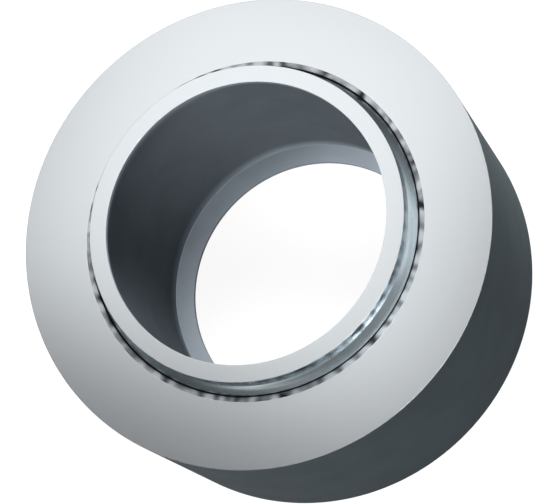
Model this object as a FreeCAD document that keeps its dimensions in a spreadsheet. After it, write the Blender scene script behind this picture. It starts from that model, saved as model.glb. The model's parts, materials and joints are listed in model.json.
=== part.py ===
"""Radial spherical plain bearing: a hollow ball ring that swivels in a lined outer ring.

Three pieces share one frame: the bore runs along Z and the ball's centre is the origin.
The sliding liner is bonded into the race of the outer ring. The ball of the inner ring
turns and tilts in the liner, and its two shoulders stand out past the outer ring.
"""
import FreeCAD, Part
import math
import os

import Sketcher

# Driving sizes, in millimetres. Each is written once, and all others follow from them.
DRIVING_SIZES = [
    ("bore_diameter", 25.0, "shaft bore, at the lips of the inner ring"),
    ("ring_wall", 2.8, "outer ring at its thinnest, behind the middle of the race"),
    ("outer_width", 20.0, "outer ring, face to face"),
    ("protrusion", 2.5, "inner ring past the outer ring, on each side"),
    ("shoulder_wall", 1.5, "radial width of the inner ring's end face"),
    ("swivel_room", 0.912, "foot of the shoulder past the outer ring's face"),
    ("running_clearance", 0.05, "radial, between the ball and the liner"),
    ("liner_thickness", 0.35, "woven sliding layer"),
    ("bond_line", 0.05, "adhesive film between the liner and the race"),
    ("relief_wall", 0.25, "shoulder's radius over that of the bore relief"),
    ("lip_land", 0.4, "straight end of each bore lip, along the axis"),
    ("lip_slope", 1.8, "cone behind each lip, along the axis"),
    ("edge_break", 0.1, "chamfer on the turned edges"),
]

# Sizes that follow from the driving ones. The ball is just large enough for the foot of
# its shoulder to lie outside the outer ring, which leaves the bearing room to tilt. As
# given, the ball is 35.5 mm across, the outer ring 42 mm and the inner ring 25 mm wide.
DERIVED_SIZES = [
    ("outer_half_width", "=outer_width / 2"),
    ("inner_half_width", "=outer_half_width + protrusion"),
    ("bore_radius", "=bore_diameter / 2"),
    ("shoulder_radius", "=bore_radius + shoulder_wall"),
    ("shoulder_foot", "=outer_half_width + swivel_room"),
    ("ball_radius", "=sqrt(shoulder_radius ^ 2 + shoulder_foot ^ 2)"),
    ("liner_bore_radius", "=ball_radius + running_clearance"),
    ("liner_back_radius", "=liner_bore_radius + liner_thickness"),
    ("race_radius", "=liner_back_radius + bond_line"),
    ("outer_radius", "=race_radius + ring_wall"),
    ("relief_radius", "=shoulder_radius - relief_wall"),
    ("relief_core", "=bore_radius / 2"),
    ("land_end", "=inner_half_width - lip_land"),
    ("relief_end", "=land_end - lip_slope"),
]

SHEET_NAME = "sizes"
FULL_TURN = 360.0

# How sketch constraints index a segment's points, and the sketch's own origin and axis.
START_INDEX, END_INDEX, CENTRE_INDEX = 1, 2, 3
ORIGIN_INDEX = (-1, 1)
UPRIGHT_AXIS_INDEX = -2

# Where a corner's radius isn't a named size: it lies on the bore's axis, or on an arc.
ON_AXIS = "on axis"
ON_ARC = "on arc"


def fill_sheet(doc):
    """Put the driving sizes in the sheet as numbers, and the others as formulas."""
    sheet = doc.addObject("Spreadsheet::Sheet", SHEET_NAME)
    rows = [(alias, str(value), meaning) for alias, value, meaning in DRIVING_SIZES]
    rows += [(alias, rule, "") for alias, rule in DERIVED_SIZES]
    for row, (alias, content, meaning) in enumerate(rows, start=1):
        sheet.set(f"A{row}", alias)
        sheet.set(f"B{row}", content)
        sheet.set(f"C{row}", meaning)
        sheet.setAlias(f"B{row}", alias)
    doc.recompute()
    return sheet


def size(sheet, alias):
    """A named size, or its negative where the name has a minus in front."""
    value = float(sheet.get(alias.lstrip("-")))
    return -value if alias.startswith("-") else value


def formula(alias):
    """The expression that ties a constraint to a named size, or to its negative."""
    sign = "-" if alias.startswith("-") else ""
    return f"{sign}{SHEET_NAME}.{alias.lstrip('-')}"


def new_body(doc, name):
    body = doc.addObject("PartDesign::Body", name)
    body.Label = name
    return body


def origin_feature(body, role):
    """The plane or axis of a body's own origin that has this role."""
    for feature in body.Origin.OriginFeatures:
        if feature.Role == role:
            return feature
    raise ValueError(f"{body.Label} has no origin feature {role}")


def new_sketch(body, name, plane_role):
    sketch = body.newObject("Sketcher::SketchObject", name)
    sketch.AttachmentSupport = (origin_feature(body, plane_role), [""])
    sketch.MapMode = "FlatFace"
    return sketch


def bind(sketch, constraint, name, alias):
    """Add a constraint under a name, with its value tied to a named size."""
    index = sketch.addConstraint(constraint)
    sketch.renameConstraint(index, name)
    sketch.setExpression(f"Constraints.{name}", formula(alias))


def corner_points(sheet, corners, arcs):
    """Where each (radius, height) corner of a half section lies, as vectors."""
    points = []
    for i, (radius, height) in enumerate(corners):
        y = size(sheet, height)
        if radius == ON_AXIS:
            x = 0.0
        elif radius == ON_ARC:
            arc_radius = size(sheet, arcs.get(i) or arcs.get(i - 1))
            x = math.sqrt(arc_radius**2 - y**2)
        else:
            x = size(sheet, radius)
        points.append(FreeCAD.Vector(x, y, 0))
    return points


def arc_between(start, end, radius):
    """The arc about the origin, bulging away from the axis, that joins two points."""
    low, high = sorted(math.asin(p.y / radius) for p in (start, end))
    circle = Part.Circle(FreeCAD.Vector(), FreeCAD.Vector(0, 0, 1), radius)
    return Part.ArcOfCircle(circle, low, high)


def half_section(sheet, body, name, corners, arcs=None):
    """A closed outline in the XZ plane, with x as the radius from the bore's axis.

    Each corner is (radius, height), named as on the sheet. Segment i runs from corner i
    to the next one, and is straight unless arcs gives it a named radius.
    """
    arcs = arcs or {}
    sketch = new_sketch(body, name, "XZ_Plane")
    points = corner_points(sheet, corners, arcs)
    count = len(corners)
    ends = []
    for i in range(count):
        start, end = points[i], points[(i + 1) % count]
        if i in arcs:
            sketch.addGeometry(arc_between(start, end, size(sheet, arcs[i])), False)
            climbs = start.y < end.y
            ends.append((START_INDEX, END_INDEX) if climbs else (END_INDEX, START_INDEX))
        else:
            sketch.addGeometry(Part.LineSegment(start, end), False)
            ends.append((START_INDEX, END_INDEX))
    for i in range(count):
        following = (i + 1) % count
        meet = (i, ends[i][1], following, ends[following][0])
        sketch.addConstraint(Sketcher.Constraint("Coincident", *meet))
    for i, alias in arcs.items():
        centred = (i, CENTRE_INDEX, *ORIGIN_INDEX)
        sketch.addConstraint(Sketcher.Constraint("Coincident", *centred))
        held = Sketcher.Constraint("Radius", i, size(sheet, alias))
        bind(sketch, held, f"radius_{i}", alias)
    for i, (radius, height) in enumerate(corners):
        corner = (i, ends[i][0])
        held = Sketcher.Constraint("DistanceY", *ORIGIN_INDEX, *corner, points[i].y)
        bind(sketch, held, f"height_{i}", height)
        if radius == ON_AXIS:
            held = Sketcher.Constraint("PointOnObject", *corner, UPRIGHT_AXIS_INDEX)
            sketch.addConstraint(held)
        elif radius != ON_ARC:
            held = Sketcher.Constraint("DistanceX", *ORIGIN_INDEX, *corner, points[i].x)
            bind(sketch, held, f"reach_{i}", radius)
    return sketch


def turn(body, kind, name, section):
    """Spin a half section about the bore's axis, to add metal or to cut it away."""
    feature = body.newObject(f"PartDesign::{kind}", name)
    feature.Profile = (section, [""])
    feature.ReferenceAxis = (origin_feature(body, "Z_Axis"), [""])
    feature.Angle = FULL_TURN
    return feature


def bore_through(sheet, body, name, radius_alias):
    """A straight hole along the bore's axis, through both faces."""
    sketch = new_sketch(body, f"{name}_circle", "XY_Plane")
    radius = size(sheet, radius_alias)
    circle = Part.Circle(FreeCAD.Vector(), FreeCAD.Vector(0, 0, 1), radius)
    i = sketch.addGeometry(circle, False)
    centred = (i, CENTRE_INDEX, *ORIGIN_INDEX)
    sketch.addConstraint(Sketcher.Constraint("Coincident", *centred))
    bind(sketch, Sketcher.Constraint("Radius", i, radius), "radius", radius_alias)
    feature = body.newObject("PartDesign::Pocket", name)
    feature.Profile = (sketch, [""])
    feature.Type = "ThroughAll"
    feature.SideType = "Symmetric"
    return feature


def round_edges(shape, radius, half_width):
    """The names of the two circular edges of this radius that lie on the end faces."""
    tolerance = 1e-4
    names = []
    for number, edge in enumerate(shape.Edges, start=1):
        curve = edge.Curve
        if not isinstance(curve, Part.Circle):
            continue
        right_radius = abs(curve.Radius - radius) < tolerance
        right_height = abs(abs(curve.Center.z) - half_width) < tolerance
        if right_radius and right_height:
            names.append(f"Edge{number}")
    return names


def break_edges(doc, sheet, body, name, radius_aliases, half_width_alias):
    """A small chamfer on the end-face edges of each named radius."""
    doc.recompute()
    base = body.Tip
    half_width = size(sheet, half_width_alias)
    edges = []
    for alias in radius_aliases:
        edges += round_edges(base.Shape, size(sheet, alias), half_width)
    feature = body.newObject("PartDesign::Chamfer", name)
    feature.Base = (base, edges)
    feature.setExpression("Size", formula("edge_break"))
    return feature


def make_outer_ring(doc, sheet):
    """The housing-side ring: a turned disc with a spherical race through its middle."""
    body = new_body(doc, "outer_ring")
    blank = half_section(
        sheet,
        body,
        "ring_blank_section",
        [
            (ON_AXIS, "-outer_half_width"),
            ("outer_radius", "-outer_half_width"),
            ("outer_radius", "outer_half_width"),
            (ON_AXIS, "outer_half_width"),
        ],
    )
    turn(body, "Revolution", "ring_blank", blank)
    race = half_section(
        sheet,
        body,
        "race_section",
        [
            (ON_ARC, "-outer_half_width"),
            (ON_ARC, "outer_half_width"),
            (ON_AXIS, "outer_half_width"),
            (ON_AXIS, "-outer_half_width"),
        ],
        arcs={0: "race_radius"},
    )
    turn(body, "Groove", "race", race)
    break_edges(doc, sheet, body, "ring_edge_break", ["outer_radius"], "outer_half_width")
    return body


def make_sliding_liner(doc, sheet):
    """The woven sliding layer: a thin spherical zone, cut off level with the ring's faces."""
    body = new_body(doc, "sliding_liner")
    section = half_section(
        sheet,
        body,
        "liner_section",
        [
            (ON_ARC, "-outer_half_width"),
            (ON_ARC, "outer_half_width"),
            (ON_ARC, "outer_half_width"),
            (ON_ARC, "-outer_half_width"),
        ],
        arcs={0: "liner_back_radius", 2: "liner_bore_radius"},
    )
    turn(body, "Revolution", "liner_layer", section)
    return body


def make_inner_ring(doc, sheet):
    """The shaft-side ring: a ball between two shoulders, bored through and relieved inside."""
    body = new_body(doc, "inner_ring")
    ball = half_section(
        sheet,
        body,
        "ball_section",
        [
            (ON_ARC, "-shoulder_foot"),
            (ON_ARC, "shoulder_foot"),
            ("shoulder_radius", "inner_half_width"),
            (ON_AXIS, "inner_half_width"),
            (ON_AXIS, "-inner_half_width"),
            ("shoulder_radius", "-inner_half_width"),
        ],
        arcs={0: "ball_radius"},
    )
    turn(body, "Revolution", "ball_and_shoulders", ball)
    bore_through(sheet, body, "bore", "bore_radius")
    relief = half_section(
        sheet,
        body,
        "relief_section",
        [
            ("relief_radius", "-relief_end"),
            ("relief_radius", "relief_end"),
            ("bore_radius", "land_end"),
            ("relief_core", "land_end"),
            ("relief_core", "-land_end"),
            ("bore_radius", "-land_end"),
        ],
    )
    turn(body, "Groove", "bore_relief", relief)
    face_edges = ["bore_radius", "shoulder_radius"]
    break_edges(doc, sheet, body, "inner_edge_break", face_edges, "inner_half_width")
    return body


def check_document(doc):
    for item in doc.Objects:
        if "Invalid" in item.State or "Error" in item.State:
            raise RuntimeError(f"{item.Name} did not compute: {item.State}")


def write_part(body):
    """Check a finished piece, print its measures and write its file."""
    shape = body.Shape
    if shape.isNull() or not shape.isValid():
        raise RuntimeError(f"{body.Label} has no valid shape")
    if len(shape.Solids) != 1:
        raise RuntimeError(f"{body.Label} has {len(shape.Solids)} solids")
    box = shape.BoundBox
    print(
        f"{body.Label}: {shape.Volume:.1f} mm3, "
        f"{box.XLength:.2f} x {box.YLength:.2f} x {box.ZLength:.2f} mm"
    )
    shape.exportStep(f"parts/{body.Label}.step")


def main():
    doc = FreeCAD.newDocument("spherical_plain_bearing")
    sheet = fill_sheet(doc)
    bodies = [
        make_outer_ring(doc, sheet),
        make_sliding_liner(doc, sheet),
        make_inner_ring(doc, sheet),
    ]
    doc.recompute()
    check_document(doc)
    os.makedirs("parts", exist_ok=True)
    for body in bodies:
        write_part(body)


main()
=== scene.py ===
# %% [markdown]
# # A spherical plain bearing, dressed for its picture
# The bearing has three pieces: an outer ring, a thin woven liner that is bonded inside it,
# and a hollow inner ring whose middle is a ball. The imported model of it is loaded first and
# stays as it is. Everything below only gives it a surface, a floor, light and a camera, so
# each length is read from that model, or written once in millimetres.

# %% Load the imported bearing
import json
import math

import bpy
import numpy as np
from mathutils import Matrix, Vector


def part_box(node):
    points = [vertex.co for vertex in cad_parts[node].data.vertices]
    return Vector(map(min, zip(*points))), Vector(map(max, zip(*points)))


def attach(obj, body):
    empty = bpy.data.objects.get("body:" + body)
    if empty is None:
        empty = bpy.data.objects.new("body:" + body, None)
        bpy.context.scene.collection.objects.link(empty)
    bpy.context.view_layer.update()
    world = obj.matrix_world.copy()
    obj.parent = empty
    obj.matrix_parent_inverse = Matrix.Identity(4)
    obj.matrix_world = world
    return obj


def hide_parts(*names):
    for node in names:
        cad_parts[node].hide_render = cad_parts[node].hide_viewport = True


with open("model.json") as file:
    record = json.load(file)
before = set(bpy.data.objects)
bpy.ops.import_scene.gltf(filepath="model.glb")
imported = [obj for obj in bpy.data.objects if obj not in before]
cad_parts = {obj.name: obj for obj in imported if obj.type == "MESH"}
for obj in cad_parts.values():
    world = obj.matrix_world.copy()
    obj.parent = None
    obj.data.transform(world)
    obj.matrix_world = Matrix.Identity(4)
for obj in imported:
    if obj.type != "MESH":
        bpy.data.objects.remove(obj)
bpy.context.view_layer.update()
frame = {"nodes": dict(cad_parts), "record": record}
MM = 0.001
print("pieces:", sorted(frame["nodes"]))

# %% [markdown]
# ## Reading the sizes
# A turned piece is known by a few radii and heights. The box of each imported piece gives its
# largest radius and its half width, and the record of the model lists the bore as a mount.
# The rest, such as how thick the liner is, can't be seen on a box, so it is given one by one.

# %% Sizes of the bearing
ring_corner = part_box("outer_ring")[1]
liner_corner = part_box("sliding_liner")[1]
ball_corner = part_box("inner_ring")[1]
mounts = {mount["name"]: mount for mount in frame["record"]["mounts"]}

OUTSIDE_RADIUS, RING_HALF_WIDTH = ring_corner.x, ring_corner.z
BALL_RADIUS, INNER_HALF_WIDTH = ball_corner.x, ball_corner.z
LINER_BACK_RADIUS = liner_corner.x
BORE_RADIUS = mounts["shaft_bore"]["dims"]["r_mm"] * MM

LINER_THICKNESS = 0.35 * MM
BOND_LINE = 0.05 * MM
GLUE_LEFT = 0.002 * MM
SHOULDER_WALL = 1.5 * MM
RELIEF_WALL = 0.25 * MM
LIP_LAND = 0.4 * MM
LIP_SLOPE = 1.8 * MM

LINER_FRONT_RADIUS = LINER_BACK_RADIUS - LINER_THICKNESS
RACE_RADIUS = LINER_BACK_RADIUS + BOND_LINE
GLUED_RADIUS = RACE_RADIUS - GLUE_LEFT
SHOULDER_RADIUS = BORE_RADIUS + SHOULDER_WALL
SHOULDER_FOOT = math.sqrt(BALL_RADIUS**2 - SHOULDER_RADIUS**2)
RELIEF_RADIUS = SHOULDER_RADIUS - RELIEF_WALL
clearance = LINER_FRONT_RADIUS - BALL_RADIUS
print(f"ball {2 * BALL_RADIUS / MM:.2f} mm, clearance {clearance / MM:.2f} mm")

# %% [markdown]
# ## Drawing a profile
# On a lathe a ring is one profile, given as radius and height, that turns round the axis.
# The profile could be a Blender curve with a Screw modifier, but a list of points is easier
# to read off the sizes: a straight run needs only the point that it starts from, and a
# spherical run is a formula. Each point also says which finish the run that leaves it has.


# %% Points of a profile
SPHERE_ROWS = 90


def at(radius, height):
    """One point of a profile."""
    return np.array([[radius, height]])


def radius_at(sphere, height):
    """How far from the axis a sphere's outline is at a height: the root of the sphere's
    radius squared less the height squared."""
    return math.sqrt(sphere**2 - height**2)


def sphere_run(radius, start, end, count=SPHERE_ROWS):
    """Points on a sphere's outline from one height up or down to another. The angle above
    the middle goes in even steps, the height is the radius times its sine, and the distance
    from the axis is the radius times its cosine. The last point is left to the next run."""
    angle = np.linspace(math.asin(start / radius), math.asin(end / radius), count)[:-1]
    return radius * np.stack([np.cos(angle), np.sin(angle)], axis=1)


def join_runs(runs, finishes):
    """All points of the runs in one array, and for each the number of its run's finish."""
    points = np.concatenate([rows for finish, rows in runs])
    numbers = [np.full(len(rows), finishes.index(finish)) for finish, rows in runs]
    return points, np.concatenate(numbers)


quarter = sphere_run(1.0, 0.0, 1.0, 4)
print("a quarter circle in three points:", quarter.round(3).tolist())

# %% [markdown]
# ## Corners that catch the light
# A real ring has no razor edge: its corners are broken by a touch of a stone. A Bevel
# modifier would do it, but here the profile is still flat and small, so the corners are
# rounded on it before it turns. The rounding belongs to the ground face, as on the real
# ring, where the face is finished last. Where the race and the liner meet, the edges are
# left nearly sharp, because that cut is made through both at once. A point close to both
# ends of each long stretch then keeps the soft shading of a corner off the flat.

# %% Rounded corners on a profile
CORNER_ROUND = 0.02 * MM
SHARP_ROUND = 0.008 * MM
CORNER_STEPS = 7
CORNER_SHARE = 0.4
SMALLEST_CORNER = math.radians(20)
RIM = 0.03 * MM
LONG_RUN = 0.28 * MM


def round_corners(points, numbers, edge_number, sharp_number):
    """Replace each corner by a short curve, which is much shorter beside the sharp run.

    With s the length that is cut from both sides, at most a share of the shorter one, the curve
    starts at the corner plus s towards the point before, ends at the corner plus s towards
    the point after, and in between is the blend (1 - t)^2 start + 2 t (1 - t) corner +
    t^2 end. Where the profile hardly turns, only the point itself is kept."""
    before = np.roll(points, 1, axis=0) - points
    after = np.roll(points, -1, axis=0) - points
    back, ahead = np.linalg.norm(before, axis=1), np.linalg.norm(after, axis=1)
    turn = np.arccos(np.clip(-(before * after).sum(axis=1) / (back * ahead), -1, 1))
    corner = turn > SMALLEST_CORNER
    beside_sharp = (numbers == sharp_number) | (np.roll(numbers, 1) == sharp_number)
    size = np.where(beside_sharp, SHARP_ROUND, CORNER_ROUND)
    size = np.where(corner, np.minimum(size, CORNER_SHARE * np.minimum(back, ahead)), 0)
    start = (points + before * (size / back)[:, None])[:, None]
    end = (points + after * (size / ahead)[:, None])[:, None]
    t = np.linspace(0, 1, CORNER_STEPS)[None, :, None]
    curves = (1 - t) ** 2 * start + 2 * t * (1 - t) * points[:, None] + t**2 * end
    middle = np.arange(CORNER_STEPS) == CORNER_STEPS // 2
    keep = corner[:, None] | middle
    beside_edge = (numbers == edge_number) | (np.roll(numbers, 1) == edge_number)
    inside = corner[:, None] & beside_edge[:, None] & (np.arange(CORNER_STEPS) < CORNER_STEPS - 1)
    kinds = np.where(inside, edge_number, numbers[:, None])
    return curves[keep], kinds[keep]


def add_rims(points, numbers):
    """Put a point a rim's width in from each end of every long stretch between two points."""
    ahead = np.roll(points, -1, axis=0) - points
    length = np.linalg.norm(ahead, axis=1)
    share = np.stack([0 * length, RIM / length, 1 - RIM / length], axis=1)
    spread = points[:, None] + share[..., None] * ahead[:, None]
    long = length > LONG_RUN
    keep = np.stack([np.ones_like(long), long, long], axis=1)
    return spread[keep], np.repeat(numbers, keep.sum(axis=1))


square = np.array([[1, 0], [2, 0], [2, 1], [1, 1]]) * MM
softened = round_corners(square, np.zeros(4, int), 0, 1)[0]
print("a square with rounded corners has", len(softened), "points")

# %% [markdown]
# ## Turning the profile
# The profile is carried round the axis on a grid: one direction runs along the profile and
# the other round the ring, and both close on themselves, so the piece has no seam and no
# pole. The whole grid is one formula in numpy. Every face of it keeps the number of its
# finish, which becomes its material. A profile runs with the metal on its left, up the
# outside and down the inside, or the faces would point into the metal.


# %% A ring from a profile
STEEL_STEPS = 384


def turned_ring(name, runs, materials, turns=STEEL_STEPS, edge="face", sharp=None, relief=None):
    """Carry a profile round the axis. With r and h the radius and height along the profile
    and a the turn, a point is x = r cos a, y = r sin a, z = h. edge is the finish that
    wraps its corners, and sharp a finish beside which corners stay nearly sharp. relief may
    change the heights of the grid, and gives each point a value for the material."""
    finishes = list(materials)
    profile, numbers = join_runs(runs, finishes)
    edge_number = finishes.index(edge)
    sharp_number = finishes.index(sharp) if sharp else -1
    profile, numbers = add_rims(*round_corners(profile, numbers, edge_number, sharp_number))
    rows = len(profile)
    angle = np.arange(turns) * 2 * math.pi / turns
    radius = np.repeat(profile[:, :1], turns, axis=1)
    height = np.repeat(profile[:, 1:], turns, axis=1)
    value = None
    if relief:
        height, value = relief(radius, height, angle)
    grid = np.stack([radius * np.cos(angle), radius * np.sin(angle), height], axis=-1)

    row, column = np.meshgrid(np.arange(rows), np.arange(turns), indexing="ij")
    next_row, next_column = (row + 1) % rows, (column + 1) % turns
    corners = [(row, column), (row, next_column), (next_row, next_column), (next_row, column)]
    quads = np.stack([a * turns + b for a, b in corners], axis=-1).reshape(-1, 4)

    mesh = bpy.data.meshes.new(name)
    mesh.from_pydata(grid.reshape(-1, 3).tolist(), [], quads.tolist())
    for finish in finishes:
        mesh.materials.append(materials[finish])
    mesh.polygons.foreach_set("material_index", np.repeat(numbers, turns).astype(np.int32))
    mesh.polygons.foreach_set("use_smooth", np.ones(len(quads), dtype=bool))
    if value is not None:
        mesh.attributes.new("tuft", "FLOAT", "POINT").data.foreach_set("value", value.ravel())
    mesh.update()
    piece = bpy.data.objects.new(name, mesh)
    bpy.context.scene.collection.objects.link(piece)
    print(f"{name}: {rows} rows round {turns} steps, {2 * len(quads)} triangles")
    return piece


print("helper: turned_ring, with", STEEL_STEPS, "steps round the steel")

# %% [markdown]
# ## Wiring a material
# A material is a small graph of nodes. It could be drawn in the node editor, but in a script
# two helpers keep the wiring short: one adds a node and sets its inputs, and one does a
# step of arithmetic.


# %% Nodes in a few words
def new_material(name):
    """A material with an empty graph, and that graph."""
    material = bpy.data.materials.new(name)
    material.use_nodes = True
    material.node_tree.nodes.clear()
    return material, material.node_tree


def add(tree, kind, inputs=None, **settings):
    """Add a node. Each input is either a value or the socket that feeds it."""
    node = tree.nodes.new(kind)
    for key, value in settings.items():
        setattr(node, key, value)
    for key, value in (inputs or {}).items():
        if isinstance(value, bpy.types.NodeSocket):
            tree.links.new(value, node.inputs[key])
        else:
            node.inputs[key].default_value = value
    return node


def maths(tree, operation, first, second=0.0):
    """One step of arithmetic between two numbers or sockets."""
    return add(tree, "ShaderNodeMath", {0: first, 1: second}, operation=operation).outputs[0]


def show(tree, shader):
    """Send a shader to the surface."""
    out = tree.nodes.new("ShaderNodeOutputMaterial")
    tree.links.new(shader.outputs[0], out.inputs["Surface"])


print("helpers: new_material, add, maths, show")

# %% [markdown]
# ## Where a pattern lies on a ring
# Every pattern on a ring has to run round the bore without a seam. Blender's noise is read
# at a place in space, so that place is worked out from the object's own coordinates: the
# cosine and the sine of the turn meet where the turn ends. The other helpers here turn a
# number into a colour, a roughness or a slight tilt of the surface.


# %% Places and ramps on a ring
NOISE_LOW, NOISE_HIGH = 0.3, 0.7
FIRST_COLOUR, SECOND_COLOUR, MIXED_COLOUR = 6, 7, 2


def axis_distance(tree):
    """The place of a point, its x, y and z, and its distance from the axis, which is the
    root of x squared plus y squared."""
    place = add(tree, "ShaderNodeTexCoord").outputs["Object"]
    x, y, z = add(tree, "ShaderNodeSeparateXYZ", {0: place}).outputs
    squares = maths(tree, "ADD", maths(tree, "MULTIPLY", x, x), maths(tree, "MULTIPLY", y, y))
    return place, x, y, z, maths(tree, "SQRT", squares)


def round_the_bore(tree, marks_in_a_radian, mark_width):
    """Where a noise is read so that its marks run round the bore: x and y over the distance
    from the axis, times the marks in a radian, and the distance plus the height, over the
    width of a mark."""
    _, x, y, z, distance = axis_distance(tree)
    cosine = maths(tree, "MULTIPLY", maths(tree, "DIVIDE", x, distance), marks_in_a_radian)
    sine = maths(tree, "MULTIPLY", maths(tree, "DIVIDE", y, distance), marks_in_a_radian)
    across = maths(tree, "DIVIDE", maths(tree, "ADD", distance, z), mark_width)
    return add(tree, "ShaderNodeCombineXYZ", {0: cosine, 1: sine, 2: across}).outputs[0]


def ramp(tree, value, stops):
    """Colours along a value, from a list of places and colours."""
    node = add(tree, "ShaderNodeValToRGB", {0: value})
    elements = node.color_ramp.elements
    while len(elements) < len(stops):
        elements.new(0.5)
    for element, (place, colour) in zip(elements, stops):
        element.position = place
        element.color = (*colour, 1)
    return node.outputs[0]


def cloudy(tree, value, colour, sway=0.07):
    """A colour that a noise makes a little darker or lighter."""
    dark, light = ([share * c for c in colour] for share in (1 - sway, 1 + sway))
    return ramp(tree, value, [(NOISE_LOW, dark), (NOISE_HIGH, light)])


def smooth_step(tree, value, start, end, low=0.0, high=1.0):
    """Go softly from low to high while the value goes from start to end."""
    inputs = {0: value, 1: start, 2: end, 3: low, 4: high}
    return add(tree, "ShaderNodeMapRange", inputs, interpolation_type="SMOOTHSTEP").outputs[0]


def blend_colours(tree, share, first, second):
    """Two colours mixed by a share, 0 for the first and 1 for the second."""
    inputs = {0: share, FIRST_COLOUR: first, SECOND_COLOUR: second}
    return add(tree, "ShaderNodeMix", inputs, data_type="RGBA").outputs[MIXED_COLOUR]


def between(tree, value, low, high):
    """A noise, which mostly stays in its middle range, stretched to lie between two values."""
    inputs = {0: value, 1: NOISE_LOW, 2: NOISE_HIGH, 3: low, 4: high}
    return add(tree, "ShaderNodeMapRange", inputs).outputs[0]


def faint_bump(tree, value, depth):
    """A normal that is tilted as if the value were a height of up to this depth."""
    return add(tree, "ShaderNodeBump", {"Height": value, "Distance": depth}).outputs[0]


print("helpers: places round the bore, ramps, soft steps and a faint bump")

# %% [markdown]
# ## The ground end faces
# The end faces are the brightest part of a bearing: they are ground flat, and the wheel
# leaves marks far finer than a picture shows, which blur the reflections evenly. Bare steel
# is a metal with a light base colour and a middling roughness. The marks only sway the
# roughness a little, and their depth is a hundredth of a micrometre.


# %% Ground steel
LONG_MARKS = 2.5
WHEEL_MARK = 0.09 * MM
FACE_ROUGHNESS = (0.265, 0.272)
MARK_DEPTH = 0.00001 * MM


def ground_steel():
    """Bare steel with fine marks that run round the bore."""
    material, tree = new_material("ground_face_steel")
    where = round_the_bore(tree, LONG_MARKS, WHEEL_MARK)
    marks = add(tree, "ShaderNodeTexNoise", {"Vector": where, "Scale": 1.0, "Detail": 2.0})
    steel = {
        "Base Color": (0.64, 0.666, 0.685, 1),
        "Metallic": 1.0,
        "Roughness": between(tree, marks.outputs[0], *FACE_ROUGHNESS),
        "Normal": faint_bump(tree, marks.outputs[0], MARK_DEPTH),
    }
    show(tree, add(tree, "ShaderNodeBsdfPrincipled", steel))
    return material


face_steel = ground_steel()
print("made", face_steel.name)

# %% [markdown]
# ## The dark outside and bore
# The cylinders of the ring are much darker than its faces. On a real bearing they carry a
# thin phosphate or oxide layer, which has a low gloss of its own. A plain dark paint would
# shine white at a glancing angle, where this camera sees the cylinders, so the layer is
# made as a mix of a matt dark colour and a dark metal whose edge tint holds that shine
# down. A cloudy noise keeps it from looking like plastic. On the short lands, which the
# shaft rubs, the layer is worn lighter.


# %% Dark satin layer
CLOUDS = 260.0
SATIN_MARK = 0.12 * MM
SATIN_SWAY = 0.05
SATIN_DEPTH = 0.00002 * MM
# Heights between which the bore's colour is painted lighter, a painted reflection of the bright
# cones, and by how many times.
PAINTED_GLOW_START, PAINTED_GLOW_END, PAINTED_GLOW_TIMES = 8.5 * MM, 10.3 * MM, 2.2


def dark_satin(name, colour, metal, edge, roughness=0.3, painted_glow=None):
    """A dark layer: metal is the share that reflects, and edge the tint of its reflection
    at a glancing angle. The last argument gives two distances from the middle of the bearing,
    between which the colour is painted lighter, a painted reflection of the bright cones, and
    how many times lighter it ends up."""
    material, tree = new_material(name)
    place, _, _, z, _ = axis_distance(tree)
    cloud = add(tree, "ShaderNodeTexNoise", {"Vector": place, "Scale": CLOUDS, "Detail": 4.0})
    shade = cloudy(tree, cloud.outputs[0], colour)
    # Painted reflection: between two heights the colour is painted lighter, in place of the light
    # that the bright cones throw onto the bore.
    if painted_glow:
        start, end, times = painted_glow
        height = maths(tree, "ABSOLUTE", z)
        share = smooth_step(tree, height, start, end)
        lighter = cloudy(tree, cloud.outputs[0], [times * c for c in colour])
        shade = blend_colours(tree, share, shade, lighter)
    marks_place = round_the_bore(tree, LONG_MARKS, SATIN_MARK)
    marks = add(tree, "ShaderNodeTexNoise", {"Vector": marks_place, "Scale": 1.0})
    low, high = (share * roughness for share in (1 - SATIN_SWAY, 1 + SATIN_SWAY))
    layer = {
        "Base Color": shade,
        "Metallic": metal,
        "Roughness": between(tree, marks.outputs[0], low, high),
        "Specular IOR Level": 0.0,
        "Specular Tint": (*edge, 1),
        "Normal": faint_bump(tree, marks.outputs[0], SATIN_DEPTH),
    }
    show(tree, add(tree, "ShaderNodeBsdfPrincipled", layer))
    return material


outside_layer = dark_satin("dark_outside", (0.068, 0.080, 0.084), 0.1, (0.52, 0.58, 0.66))
land_layer = dark_satin("satin_land", (0.24, 0.27, 0.30), 0.35, (0.52, 0.58, 0.64))
painted_glow = (PAINTED_GLOW_START, PAINTED_GLOW_END, PAINTED_GLOW_TIMES)
# The bore has the outside's layer, but its colour is painted about twice as light, to make up for
# the light that the deep bore doesn't get.
bore_tint = (0.40, 0.44, 0.48)
bore_layer = dark_satin("dark_bore", (0.139, 0.160, 0.178), 0.06, bore_tint, painted_glow=painted_glow)
print("made", outside_layer.name, land_layer.name, bore_layer.name)

# %% [markdown]
# ## The polished ball, the shoulders and the cones
# The ball slides in the liner, so it is polished, and it mirrors what stands around it. The
# shoulders beside it are nearly as smooth, but the buff has left them duller in some places
# than in others. The cones that lead out of the bore are turned and left at that: their
# reflections are blurred more. One function makes all of them, with the roughness swayed
# by a noise that runs round the ring.


# %% Smooth steel
SMEAR_WIDTH = 2.5 * MM


def smooth_steel(name, colour, roughness, sway=0.1, patches=9.0):
    """Bare steel of a given roughness, which a noise of so many patches in a radian sways by
    a share of itself."""
    material, tree = new_material(name)
    where = round_the_bore(tree, patches, SMEAR_WIDTH)
    smears = add(tree, "ShaderNodeTexNoise", {"Vector": where, "Scale": 1.0, "Detail": 3.0})
    low, high = (share * roughness for share in (1 - sway, 1 + sway))
    steel = {
        "Base Color": (*colour, 1),
        "Metallic": 1.0,
        "Roughness": between(tree, smears.outputs[0], low, high),
    }
    show(tree, add(tree, "ShaderNodeBsdfPrincipled", steel))
    return material


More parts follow.
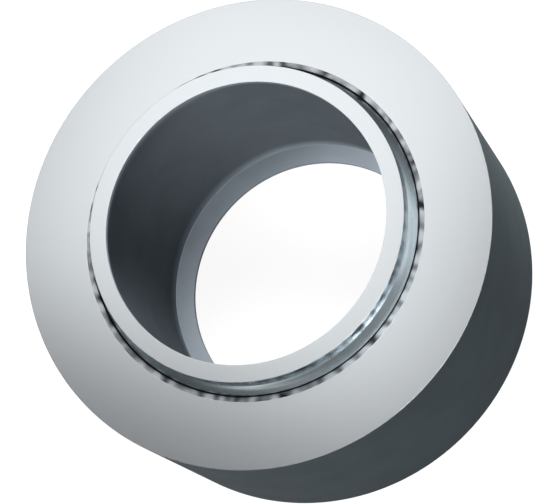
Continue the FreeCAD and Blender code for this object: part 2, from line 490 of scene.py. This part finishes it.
ball_steel = smooth_steel("polished_ball", (0.62, 0.69, 0.70), 0.15)
shoulder_steel = smooth_steel("turned_shoulder", (0.70, 0.77, 0.82), 0.19, sway=0.5, patches=13.0)
cone_steel = smooth_steel("turned_cone", (0.40, 0.45, 0.50), 0.33)
race_steel = smooth_steel("ground_race", (0.62, 0.65, 0.68), 0.3)
print("made", ball_steel.name, shoulder_steel.name, cone_steel.name, race_steel.name)

# %% [markdown]
# ## The woven liner
# The liner is a cloth of slippery and metal yarns in dark resin, and its cut end shows as a
# thin mottled line between the ring and the ball. Where a yarn ends there, the line is
# light, and where resin fills the gap, it is nearly black. The mesh carries a number from
# 0 to 1 for each point, high on a yarn and low in the resin, and the colour is read off it,
# so that the light spots are also the places that stand out.
# Along the edge next to the ball the number falls to nothing, so the cloth there is painted near
# black: a painted shade of the narrow gap between liner and ball.


# %% Yarn and resin
FIBRES, FIBRE_WIDTH = 90.0, 0.1 * MM
FRAY = 0.16
RESIN_PLACE, MIXED_PLACE, YARN_PLACE = 0.22, 0.46, 0.80
FIBRE_DEPTH = 0.01 * MM


def woven_cloth():
    """Yarn ends and resin, told apart by the number that the mesh carries."""
    material, tree = new_material("woven_liner")
    tuft = add(tree, "ShaderNodeAttribute", attribute_name="tuft").outputs["Fac"]
    where = round_the_bore(tree, FIBRES, FIBRE_WIDTH)
    fibres = add(tree, "ShaderNodeTexNoise", {"Vector": where, "Scale": 1.0, "Detail": 3.0})
    frayed = add(
        tree, "ShaderNodeMath", {0: fibres.outputs[0], 1: FRAY, 2: tuft}, operation="MULTIPLY_ADD"
    ).outputs[0]
    resin, mixed, yarn = (0.014, 0.015, 0.017), (0.170, 0.180, 0.190), (0.43, 0.45, 0.47)
    stops = [(RESIN_PLACE, resin), (MIXED_PLACE, mixed), (YARN_PLACE, yarn)]
    cloth = {
        "Base Color": ramp(tree, frayed, stops),
        "Metallic": 0.75,
        "Roughness": 0.3,
        "Normal": faint_bump(tree, fibres.outputs[0], FIBRE_DEPTH),
    }
    show(tree, add(tree, "ShaderNodeBsdfPrincipled", cloth))
    return material


cloth = woven_cloth()
print("made", cloth.name)

# %% [markdown]
# ## The outer ring
# One solid ring: a plain outside, flat faces, and a spherical race inside. The profile
# climbs the outside, crosses the upper face, comes down the race, and goes back over the
# lower face.


# %% Turn the outer ring
def outer_ring():
    """The ring between the race and the outside."""
    top, side = RING_HALF_WIDTH, OUTSIDE_RADIUS
    race_edge = radius_at(RACE_RADIUS, top)
    runs = [
        ("outside", at(side, -top)),
        ("face", at(side, top)),
        ("race", sphere_run(RACE_RADIUS, top, -top)),
        ("face", at(race_edge, -top)),
    ]
    finishes = {"race": race_steel, "face": face_steel, "outside": outside_layer}
    return turned_ring("outer_ring_turned", runs, finishes, sharp="race")


ring = outer_ring()
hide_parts("outer_ring")
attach(ring, "outer")

# %% [markdown]
# ## The liner and its cut ends
# The liner is cut level with the faces of the ring, and the ends of its yarns are a relief.
# A displacement texture could make it, but a sum of cosines round the ring is exact and
# closes by itself: each has a whole number of waves, a random phase, and a lean that makes
# the spots slant across the cloth. Slow waves are stronger than fast ones, and those near
# the number of yarns round the ring are stronger still, which sets how long the spots are.
# The relief only goes down, from the level of the cut, so the liner stays clear of the ball.

# %% The relief of the cut ends
TUFT_WAVES = np.arange(1, 120)
TUFT_SPREAD = 60.0
YARNS_ROUND, YARN_SHARE, YARN_SWAY = 51, 1.4, 7.0
TUFT_SEED, TUFT_LEAN, TUFT_SCATTER = 11, 1.2, 0.18
TUFT_DEPTH = 0.03 * MM
CUT_ZONE = 0.06 * MM
# The share of each cut end, next to the ball, whose colour is painted near black: a painted shade
# of the narrow gap between liner and ball.
GAP_SHADE_SHARE = 0.22


def tufts(angle, across):
    """How far each place of the cut end stands out, about 0 to 1, with one half on average:
    the sum over the waves k of w cos(k a + lean + phase), scaled to an even spread. The
    weight w falls as exp(-(k / spread)^2 / 4), and is raised near the number of yarns round
    the ring. across is 0 to 1 from ball to ring."""
    draw = np.random.default_rng(TUFT_SEED)
    weight = np.exp(-((TUFT_WAVES / TUFT_SPREAD) ** 2) / 4)
    weight += YARN_SHARE * np.exp(-(((TUFT_WAVES - YARNS_ROUND) / YARN_SWAY) ** 2) / 2)
    phase = draw.uniform(0, 2 * math.pi, len(TUFT_WAVES))
    lean = draw.normal(0, TUFT_LEAN, len(TUFT_WAVES))
    waves = TUFT_WAVES * angle[:, None] + phase
    total = np.cos(waves + lean * across[:, None, None]) @ weight
    return 0.5 + TUFT_SCATTER * total / math.sqrt((weight**2).sum() / 2)


def cut_relief(radius, height, angle):
    """Lower the two cut ends between their edges: by the depth, times one less the tuft,
    times the sine of half a turn across the cloth, so that both edges stay level."""
    top = RING_HALF_WIDTH
    inner, outer = radius_at(LINER_FRONT_RADIUS, top), radius_at(GLUED_RADIUS, top)
    across = np.clip((radius[:, 0] - inner) / (outer - inner), 0, 1)
    # Towards the ball the value falls to nothing, which paints that edge of the cloth near black,
    # as painted shade of the gap.
    value = tufts(angle, across) * np.clip(across / GAP_SHADE_SHARE, 0, 1)[:, None]
    on_cut = np.abs(height[:, :1]) > top - CUT_ZONE
    dip = TUFT_DEPTH * np.clip(1 - value, 0, 1) * np.sin(math.pi * across)[:, None]
    return height - np.sign(height) * np.where(on_cut, dip, 0), value


sample = tufts(np.linspace(0, 2 * math.pi, 720), np.array([0.5]))
print(f"tufts from {sample.min():.2f} to {sample.max():.2f}")

# %% [markdown]
# ## The liner
# The liner is a band between two spheres. Its front slides on the ball. Its back is glued to
# the race, so here it reaches the race, film of adhesive and all. Each cut end has eight
# rows of points across, so that its relief has something to bend, and round the ring it has
# twice as many points as the steel has. The two spheres are hidden between the rings, so
# they get few rows.


# %% Turn the liner
LINER_STEPS = 2 * STEEL_STEPS
CUT_ROWS = 8
BACK_ROWS, FRONT_ROWS = 10, 20


def sliding_liner():
    """The band between the back, which is bonded to the race, and the front, which slides
    on the ball, with rows of points across both cut ends."""
    top = RING_HALF_WIDTH
    inner, outer = radius_at(LINER_FRONT_RADIUS, top), radius_at(GLUED_RADIUS, top)
    share = np.linspace(0, 1, CUT_ROWS + 1)[:-1]
    upper_end = np.stack([outer + (inner - outer) * share, np.full(CUT_ROWS, top)], axis=1)
    lower_end = np.stack([inner + (outer - inner) * share, np.full(CUT_ROWS, -top)], axis=1)
    runs = [
        ("cloth", sphere_run(GLUED_RADIUS, -top, top, BACK_ROWS)),
        ("cloth", upper_end),
        ("cloth", sphere_run(LINER_FRONT_RADIUS, top, -top, FRONT_ROWS)),
        ("cloth", lower_end),
    ]
    kinds = {"turns": LINER_STEPS, "edge": "cloth", "sharp": "cloth", "relief": cut_relief}
    return turned_ring("woven_liner_ring", runs, {"cloth": cloth}, **kinds)


liner = sliding_liner()
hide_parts("sliding_liner")
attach(liner, "outer")

# %% [markdown]
# ## The inner ring
# The inner ring is a ball with a shoulder on each side and a bore through all of it. The
# bore is wide in the middle and narrows over a cone to a short land at each end, where the
# shaft sits. The profile climbs the ball, goes up the shoulder, over the face, down the
# bore and back to the ball.


# %% Turn the inner ring
def inner_ring():
    """The hollow ring with the ball, from the lower foot of the ball round to it again."""
    end, foot = INNER_HALF_WIDTH, SHOULDER_FOOT
    land_end = end - LIP_LAND
    relief_end = land_end - LIP_SLOPE
    runs = [
        ("ball", sphere_run(BALL_RADIUS, -foot, foot)),
        ("shoulder", at(SHOULDER_RADIUS, foot)),
        ("face", at(SHOULDER_RADIUS, end)),
        ("land", at(BORE_RADIUS, end)),
        ("cone", at(BORE_RADIUS, land_end)),
        ("bore", at(RELIEF_RADIUS, relief_end)),
        ("cone", at(RELIEF_RADIUS, -relief_end)),
        ("land", at(BORE_RADIUS, -land_end)),
        ("face", at(BORE_RADIUS, -end)),
        ("shoulder", at(SHOULDER_RADIUS, -end)),
    ]
    finishes = {
        "ball": ball_steel,
        "shoulder": shoulder_steel,
        "face": face_steel,
        "land": land_layer,
        "cone": cone_steel,
        "bore": bore_layer,
    }
    return turned_ring("inner_ring_turned", runs, finishes)


hub = inner_ring()
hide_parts("inner_ring")
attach(hub, "inner")

# %% [markdown]
# ## The floor
# The bearing lies on a wide pale plate. To the camera, and in mirrors, the plate also
# glows, which gives the white ground of a catalogue picture without any more light on the
# matt surfaces, and the part of it that isn't glow still takes the bearing's soft shadow.
# In mirrors the glow dies away far from the bearing, as a floor does outside the lamps.

# %% A pale plate
FLOOR_HALF = 3.0
FLOOR_GLOW, FAR_GLOW = 0.92, 0.25
FADE_START, FADE_END = 0.22, 0.70
MATT_FLOOR, SEEN_FLOOR = 0.38, 0.13


def pale_floor():
    """A square plate at the height of the bearing's lower face."""
    low, half = -INNER_HALF_WIDTH, FLOOR_HALF
    corners = [(-half, -half, low), (half, -half, low), (half, half, low), (-half, half, low)]
    mesh = bpy.data.meshes.new("floor")
    mesh.from_pydata(corners, [], [(0, 1, 2, 3)])
    material, tree = new_material("pale_floor")
    path = add(tree, "ShaderNodeLightPath")
    seen = maths(tree, "MAXIMUM", path.outputs["Is Camera Ray"], path.outputs["Is Glossy Ray"])
    seen = maths(tree, "MAXIMUM", seen, path.outputs["Is Transmission Ray"])
    *_, distance = axis_distance(tree)
    faded = smooth_step(tree, distance, FADE_START, FADE_END, FLOOR_GLOW, FAR_GLOW)
    direct = maths(tree, "MULTIPLY", path.outputs["Is Camera Ray"], FLOOR_GLOW)
    glow = maths(tree, "MAXIMUM", faded, direct)
    plain = add(tree, "ShaderNodeBsdfDiffuse", {"Color": (*[MATT_FLOOR] * 3, 1)})
    faint = add(tree, "ShaderNodeBsdfDiffuse", {"Color": (*[SEEN_FLOOR] * 3, 1)})
    white = add(tree, "ShaderNodeEmission", {"Color": (1, 1, 1, 1), "Strength": glow})
    both = add(tree, "ShaderNodeAddShader", {0: faint.outputs[0], 1: white.outputs[0]})
    show(tree, add(tree, "ShaderNodeMixShader", {0: seen, 1: plain.outputs[0], 2: both.outputs[0]}))
    mesh.materials.append(material)
    floor = bpy.data.objects.new("floor", mesh)
    bpy.context.scene.collection.objects.link(floor)
    return floor


floor = pale_floor()
print("floor at", floor.data.vertices[0].co.z / MM, "mm")

# %% [markdown]
# ## The lamps
# Metal shows its lamps more than its own colour. The large soft box stands where the flat
# faces mirror it to the camera, and because it covers only a part of what they mirror, the
# faces fade from nearly white at the upper right to grey at the lower left. The fill lights
# the matt cylinders from the left front and reaches down into the bore, a box at the back
# lifts the right edge of the outside, and a high one there reaches the left side of the
# bore. Three boxes serve the metal only, for the sake of the shoulder: its lower half mirrors
# the ball, its upper half mirrors the liner, and these in turn mirror the boxes, which makes
# its bright streak. A photographer would shade each box off from the surfaces that it isn't
# meant for. In Blender a lamp can be hidden from diffuse or from glossy rays, which does the
# same. The brightness of a box is its power over its area and pi.


# %% Soft boxes
def soft_box(name, place, aim, size, brightness, turn=0.0, serves=("matt", "metal")):
    """A rectangular lamp of a given brightness: its power is the brightness times the area
    times pi. serves tells which surfaces it lights, the matt ones, the metal or both."""
    lamp = bpy.data.lights.new(name, "AREA")
    lamp.shape = "RECTANGLE"
    lamp.size, lamp.size_y = (length * MM for length in size)
    lamp.energy = brightness * lamp.size * lamp.size_y * math.pi
    holder = bpy.data.objects.new(name, lamp)
    holder.visible_diffuse = "matt" in serves
    holder.visible_glossy = "metal" in serves
    direction = Vector(aim) - Vector(place)
    facing = direction.to_track_quat("-Z", "Y").to_matrix() @ Matrix.Rotation(turn, 3, "Z")
    holder.matrix_world = Matrix.Translation(Vector(place) * MM) @ facing.to_4x4()
    bpy.context.scene.collection.objects.link(holder)
    print(f"{name}: {lamp.energy:.3f} W")
    return holder


centre = (0, 0, 0)
soft_box("key_soft_box", (12.6, 63.5, 139.0), (12.6, 63.5, 0.0), (75.5, 80.5), 1.45, turn=0.376)
soft_box("side_soft_box", (169, -118, 110), centre, (80, 50), 1.1, serves=["metal"])
soft_box("streak_soft_box", (12, -219, 205), centre, (120, 70), 12.0, serves=["metal"])
soft_box("front_soft_box", (27, -99, 282), centre, (150, 90), 4.5, serves=["metal"])
soft_box("fill_soft_box", (-185, -125, 356), centre, (200, 75), 32.0, serves=["matt"])
soft_box("edge_soft_box", (236, 148, 100), centre, (120, 120), 26.0, serves=["matt"])
soft_box("bore_soft_box", (139, 87, 309), centre, (70, 70), 62.0, serves=["matt"])

# %% [markdown]
# ## The room
# What no lamp fills is the room. Near the ground it is paler in front, towards the lower
# right of the picture, where the ball mirrors it, and dark behind. Above that stand grey
# walls, which the shoulder mirrors in front and the faces when they are seen from the side,
# and the ceiling is dim at the back, so that the faces keep their fade in the picture. The
# colour depends on the direction alone, so it could be a picture of a studio, but two ramps
# round the compass are enough, one for the horizon and one for the walls. As with the lamps,
# the matt surfaces get less of it than the metal.

# %% The room around the bearing
HORIZON = [
    (180, 0.06),
    (210, 0.07),
    (250, 0.16),
    (280, 0.25),
    (296, 0.36),
    (312, 1.45),
    (331, 2.20),
    (346, 0.50),
    (362, 0.08),
    (540, 0.06),
]
WALLS = [
    (180, 0.12),
    (206, 0.22),
    (226, 0.42),
    (247, 0.50),
    (300, 0.65),
    (334, 0.42),
    (353, 0.25),
    (372, 0.12),
    (415, 0.25),
    (430, 0.44),
    (500, 0.44),
    (528, 0.12),
    (540, 0.12),
]
COMPASS_START = 180
ROOM_TINT = (0.93, 1.0, 1.09)
BACK_OVERHEAD = (0.114, 0.120, 0.126)
FRONT_OVERHEAD = (0.76, 0.80, 0.84)
WALLS_RISE = (0.06, 0.20)
OVERHEAD_RISE = (0.50, 0.74)
OVERHEAD_CHANGE = (-0.32, -0.02)
MATT_SHARE = 0.35


def compass_ramp(tree, turn, levels):
    """The colours round the compass, from a list of angles and of levels that multiply the
    room's tint. The ramp starts at 180 degrees, where the compass angle jumps."""
    places = [(angle - COMPASS_START) / 360 for angle, _ in levels]
    colours = [[level * c for c in ROOM_TINT] for _, level in levels]
    return ramp(tree, turn, list(zip(places, colours)))


def studio_room():
    """The compass angle of a direction, from 180 degrees on, picks a level on each of the
    two ramps. The height of the direction blends the horizon into the walls, and these into
    the overhead, which its y makes light in front and dim at the back."""
    world = bpy.data.worlds.new("studio")
    world.use_nodes = True
    tree = world.node_tree
    tree.nodes.clear()
    direction = add(tree, "ShaderNodeTexCoord").outputs["Generated"]
    x, y, up = add(tree, "ShaderNodeSeparateXYZ", {0: direction}).outputs
    compass = maths(tree, "ARCTAN2", y, x)
    turn = add(tree, "ShaderNodeMapRange", {0: compass, 1: -math.pi, 2: math.pi}).outputs[0]
    horizon, walls = (compass_ramp(tree, turn, levels) for levels in (HORIZON, WALLS))
    low = blend_colours(tree, smooth_step(tree, up, *WALLS_RISE), horizon, walls)
    back_share = smooth_step(tree, y, *OVERHEAD_CHANGE)
    overhead = blend_colours(tree, back_share, (*FRONT_OVERHEAD, 1), (*BACK_OVERHEAD, 1))
    sky = blend_colours(tree, smooth_step(tree, up, *OVERHEAD_RISE), low, overhead)
    matt = add(tree, "ShaderNodeLightPath").outputs["Is Diffuse Ray"]
    strength = maths(tree, "SUBTRACT", 1.0, maths(tree, "MULTIPLY", matt, 1 - MATT_SHARE))
    back = add(tree, "ShaderNodeBackground", {"Color": sky, "Strength": strength})
    out = tree.nodes.new("ShaderNodeOutputWorld")
    tree.links.new(back.outputs[0], out.inputs["Surface"])
    bpy.context.scene.world = world
    return world


print("room:", studio_room().name)

# %% [markdown]
# ## The camera
# The camera looks down on the bearing at a slant, and is rolled so that the far side of the
# bore lies to the upper left. Its tilt from the vertical, roll, distance and lens were
# fitted to the circles of the photograph, which pins them down well, because circles that
# share one axis shrink and shift with their height.

# %% The picture's camera
CAMERA_TILT = math.radians(21.65)
CAMERA_ROLL = math.radians(-48.32)
CAMERA_DISTANCE = 198.07 * MM
CAMERA_LENS = 140.55
SENSOR_WIDTH = 36.0
AIM = Vector((0.096, 0.509, 0.202)) * MM


def picture_camera():
    """A camera that is rolled about its view, tilted about x, and backed off from the aim."""
    lens = bpy.data.cameras.new("picture_camera")
    lens.lens = CAMERA_LENS
    lens.sensor_width = SENSOR_WIDTH
    lens.sensor_fit = "HORIZONTAL"
    lens.clip_start = 1 * MM
    camera = bpy.data.objects.new("picture_camera", lens)
    turned = Matrix.Rotation(CAMERA_TILT, 3, "X") @ Matrix.Rotation(CAMERA_ROLL, 3, "Z")
    back = turned @ Vector((0, 0, 1))
    camera.matrix_world = Matrix.Translation(AIM + back * CAMERA_DISTANCE) @ turned.to_4x4()
    bpy.context.scene.collection.objects.link(camera)
    bpy.context.scene.camera = camera
    return camera


camera = picture_camera()
bpy.context.scene.view_settings.view_transform = "Standard"
print("camera at", [round(x / MM, 2) for x in camera.matrix_world.translation], "mm")
